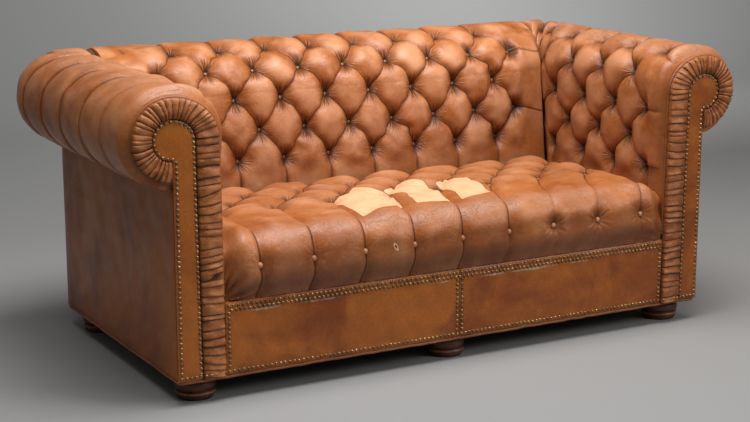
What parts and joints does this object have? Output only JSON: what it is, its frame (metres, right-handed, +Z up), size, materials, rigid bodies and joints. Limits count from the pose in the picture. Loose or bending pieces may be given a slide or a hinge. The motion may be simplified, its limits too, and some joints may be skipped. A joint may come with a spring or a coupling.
{
  "type": "sofa",
  "caption": "Two-seat sofa in worn tan leather with button-tufted back, arms and seat, rolled arms with ruched fronts, nailed aprons and turned bun feet.",
  "frame": {"origin": "on the ground, in the middle of the sofa's plan", "axes": "+X along the length, to the right as seen from the front; +Y to the rear; +Z up"},
  "size_m": [1.7748, 0.9069, 0.7615],
  "materials": {
    "tan_leather": "worn semi-gloss",
    "ruched_leather": "worn satin",
    "plain_leather": "satin",
    "piping_leather": "worn satin",
    "frame_timber": "sawn",
    "foot_wood": "polished, scuffed",
    "spring_steel": "bare",
    "black_cambric": "matt"
  },
  "bodies": {
    "root": {"back_pad": "tan_leather", "back_tacking_rail": "frame_timber", "back_top_rail": "frame_timber", "bottom_welt": "piping_leather", "centre_back_post": "frame_timber", "centre_stretcher": "frame_timber", "dust_cover": "black_cambric", "front_left_foot": "foot_wood", "front_middle_foot": "foot_wood", "front_rail": "frame_timber", "front_right_foot": "foot_wood", "left_apron_panel": "plain_leather", "left_arm_pad": "tan_leather", "left_arm_piping": "piping_leather", "left_arm_post": "frame_timber", "left_arm_rail": "frame_timber", "left_arm_tacking_rail": "frame_timber", "left_back_post": "frame_timber", "left_corner_post": "frame_timber", "left_facing_board": "frame_timber", "left_facing_panel": "plain_leather", "left_front_post": "frame_timber", "left_outside_arm": "plain_leather", "left_ruched_band": "ruched_leather", "left_side_rail": "frame_timber", "outside_back": "plain_leather", "rear_left_foot": "foot_wood", "rear_middle_foot": "foot_wood", "rear_rail": "frame_timber", "rear_right_foot": "foot_wood", "right_apron_panel": "plain_leather", "right_arm_pad": "tan_leather", "right_arm_piping": "piping_leather", "right_arm_post": "frame_timber", "right_arm_rail": "frame_timber", "right_arm_tacking_rail": "frame_timber", "right_back_post": "frame_timber", "right_corner_post": "frame_timber", "right_facing_board": "frame_timber", "right_facing_panel": "plain_leather", "right_front_post": "frame_timber", "right_outside_arm": "plain_leather", "right_ruched_band": "ruched_leather", "right_side_rail": "frame_timber", "seat_pad": "tan_leather", "seat_spring_1": "spring_steel", "seat_spring_2": "spring_steel", "seat_spring_3": "spring_steel", "seat_spring_4": "spring_steel", "seat_spring_5": "spring_steel", "seat_spring_6": "spring_steel", "seat_spring_7": "spring_steel", "seat_spring_8": "spring_steel", "seat_spring_9": "spring_steel"}
  },
  "joints": []
}
